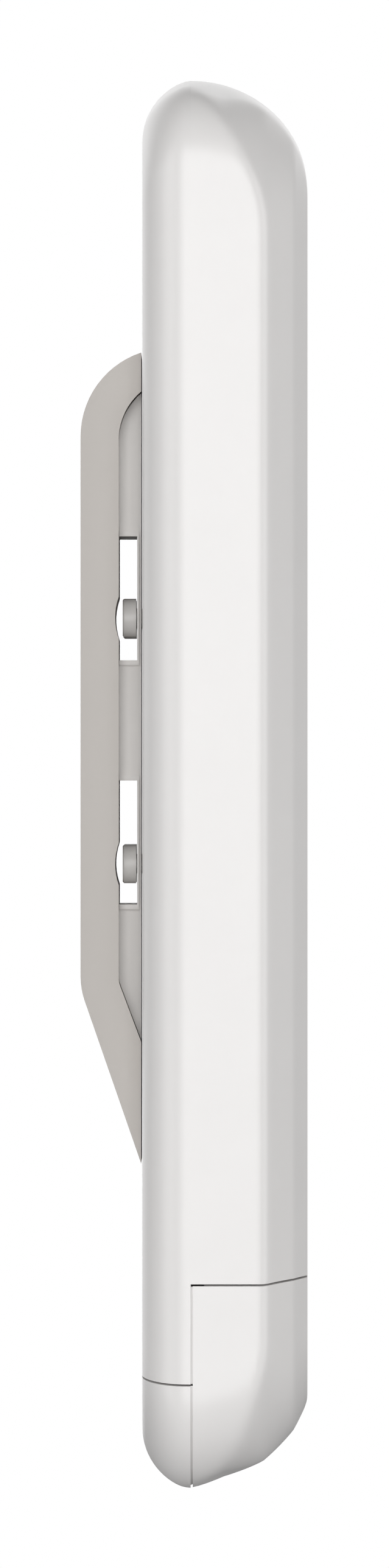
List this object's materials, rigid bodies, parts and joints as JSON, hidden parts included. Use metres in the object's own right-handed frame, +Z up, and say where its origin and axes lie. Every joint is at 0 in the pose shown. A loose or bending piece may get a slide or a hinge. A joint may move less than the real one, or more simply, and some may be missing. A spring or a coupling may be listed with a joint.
{
  "type": "outdoor wireless access point",
  "caption": "Tall slim outdoor wireless access point hung by headed studs on a curved pole-and-wall bracket with strap passages, with a sliding cover over its cable ports.",
  "frame": {"origin": "centre of the pattern of four wall-screw holes, on the bracket's wall face", "axes": "+Z up along the length, +Y out of the back of the bracket towards the wall, the front faces -Y, X across the width"},
  "size_m": [0.181, 0.0551, 0.343],
  "materials": {
    "radome_plastic": "fine-textured off-white moulding",
    "housing_plastic": "fine-textured off-white moulding",
    "bracket_plastic": "satin warm grey-white moulding",
    "stainless": "machined stainless steel",
    "seal_rubber": "soft black rubber",
    "grommet_rubber": "grey rubber",
    "board_green": "solder-masked laminate",
    "black_plastic": "black moulding",
    "tinned_steel": "tinned sheet",
    "gold_contact": "gold-plated",
    "aluminium_sheet": "satin sheet",
    "thermal_gel": "soft grey-blue pad",
    "light_clear": "frosted clear acrylic",
    "led_white": "white LED package",
    "coax_jacket": "thin black jacket",
    "spacer_nylon": "natural nylon",
    "cap_sleeve": "shrink sleeve with bare top"
  },
  "bodies": {
    "bracket": {"bracket_wall_tray": "bracket_plastic", "bracket_key_plate": "bracket_plastic", "bracket_screws": "stainless"},
    "housing": {"front_radome": "radome_plastic", "rear_housing": "housing_plastic", "housing_gasket": "seal_rubber", "housing_screws": "stainless", "mount_studs": "stainless", "port_bulkhead": "black_plastic", "pressure_vent": "black_plastic", "main_board": "board_green", "board_screws": "stainless", "reflector_screws": "stainless", "processor_chip": "black_plastic", "memory_chips": "black_plastic", "thermal_pad": "thermal_gel", "heat_spreader": "aluminium_sheet", "shield_can_low_band": "tinned_steel", "shield_can_high_band": "tinned_steel", "ethernet_jack_main": "tinned_steel", "ethernet_jack_secondary": "tinned_steel", "jack_contacts": "gold_contact", "lan_transformers": "black_plastic", "power_capacitors": "cap_sleeve", "reset_switch": "black_plastic", "status_led": "led_white", "light_pipe": "light_clear", "antenna_reflector": "aluminium_sheet", "antenna_left": "aluminium_sheet", "antenna_centre": "aluminium_sheet", "antenna_right": "aluminium_sheet", "antenna_spacers": "spacer_nylon", "coax_left": "coax_jacket", "coax_centre": "coax_jacket", "coax_right": "coax_jacket", "coax_connectors": "gold_contact"},
    "port_cover": {"port_cover_front": "radome_plastic", "port_cover_rear": "housing_plastic", "cover_screws": "stainless", "cable_grommets": "grommet_rubber"},
    "cover_latch": {"cover_latch": "housing_plastic"},
    "reset_button": {"reset_button": "black_plastic"}
  },
  "joints": [
    {"name": "housing_lift", "type": "slide", "parent": "bracket", "child": "housing", "axis": [0, 0, 1], "range_m": [0, 0.012]},
    {"name": "port_cover_slide", "type": "slide", "parent": "housing", "child": "port_cover", "axis": [0, 0, -1], "range_m": [0, 0.055]},
    {"name": "cover_latch_press", "type": "slide", "parent": "port_cover", "child": "cover_latch", "axis": [0, -1, 0], "range_m": [0, 0.0015], "stiffness_N_per_m": 1500, "springref_m": -0.0006},
    {"name": "reset_button_press", "type": "slide", "parent": "housing", "child": "reset_button", "axis": [0, 0, 1], "range_m": [0, 0.0005], "stiffness_N_per_m": 2500, "springref_m": -0.0002}
  ]
}
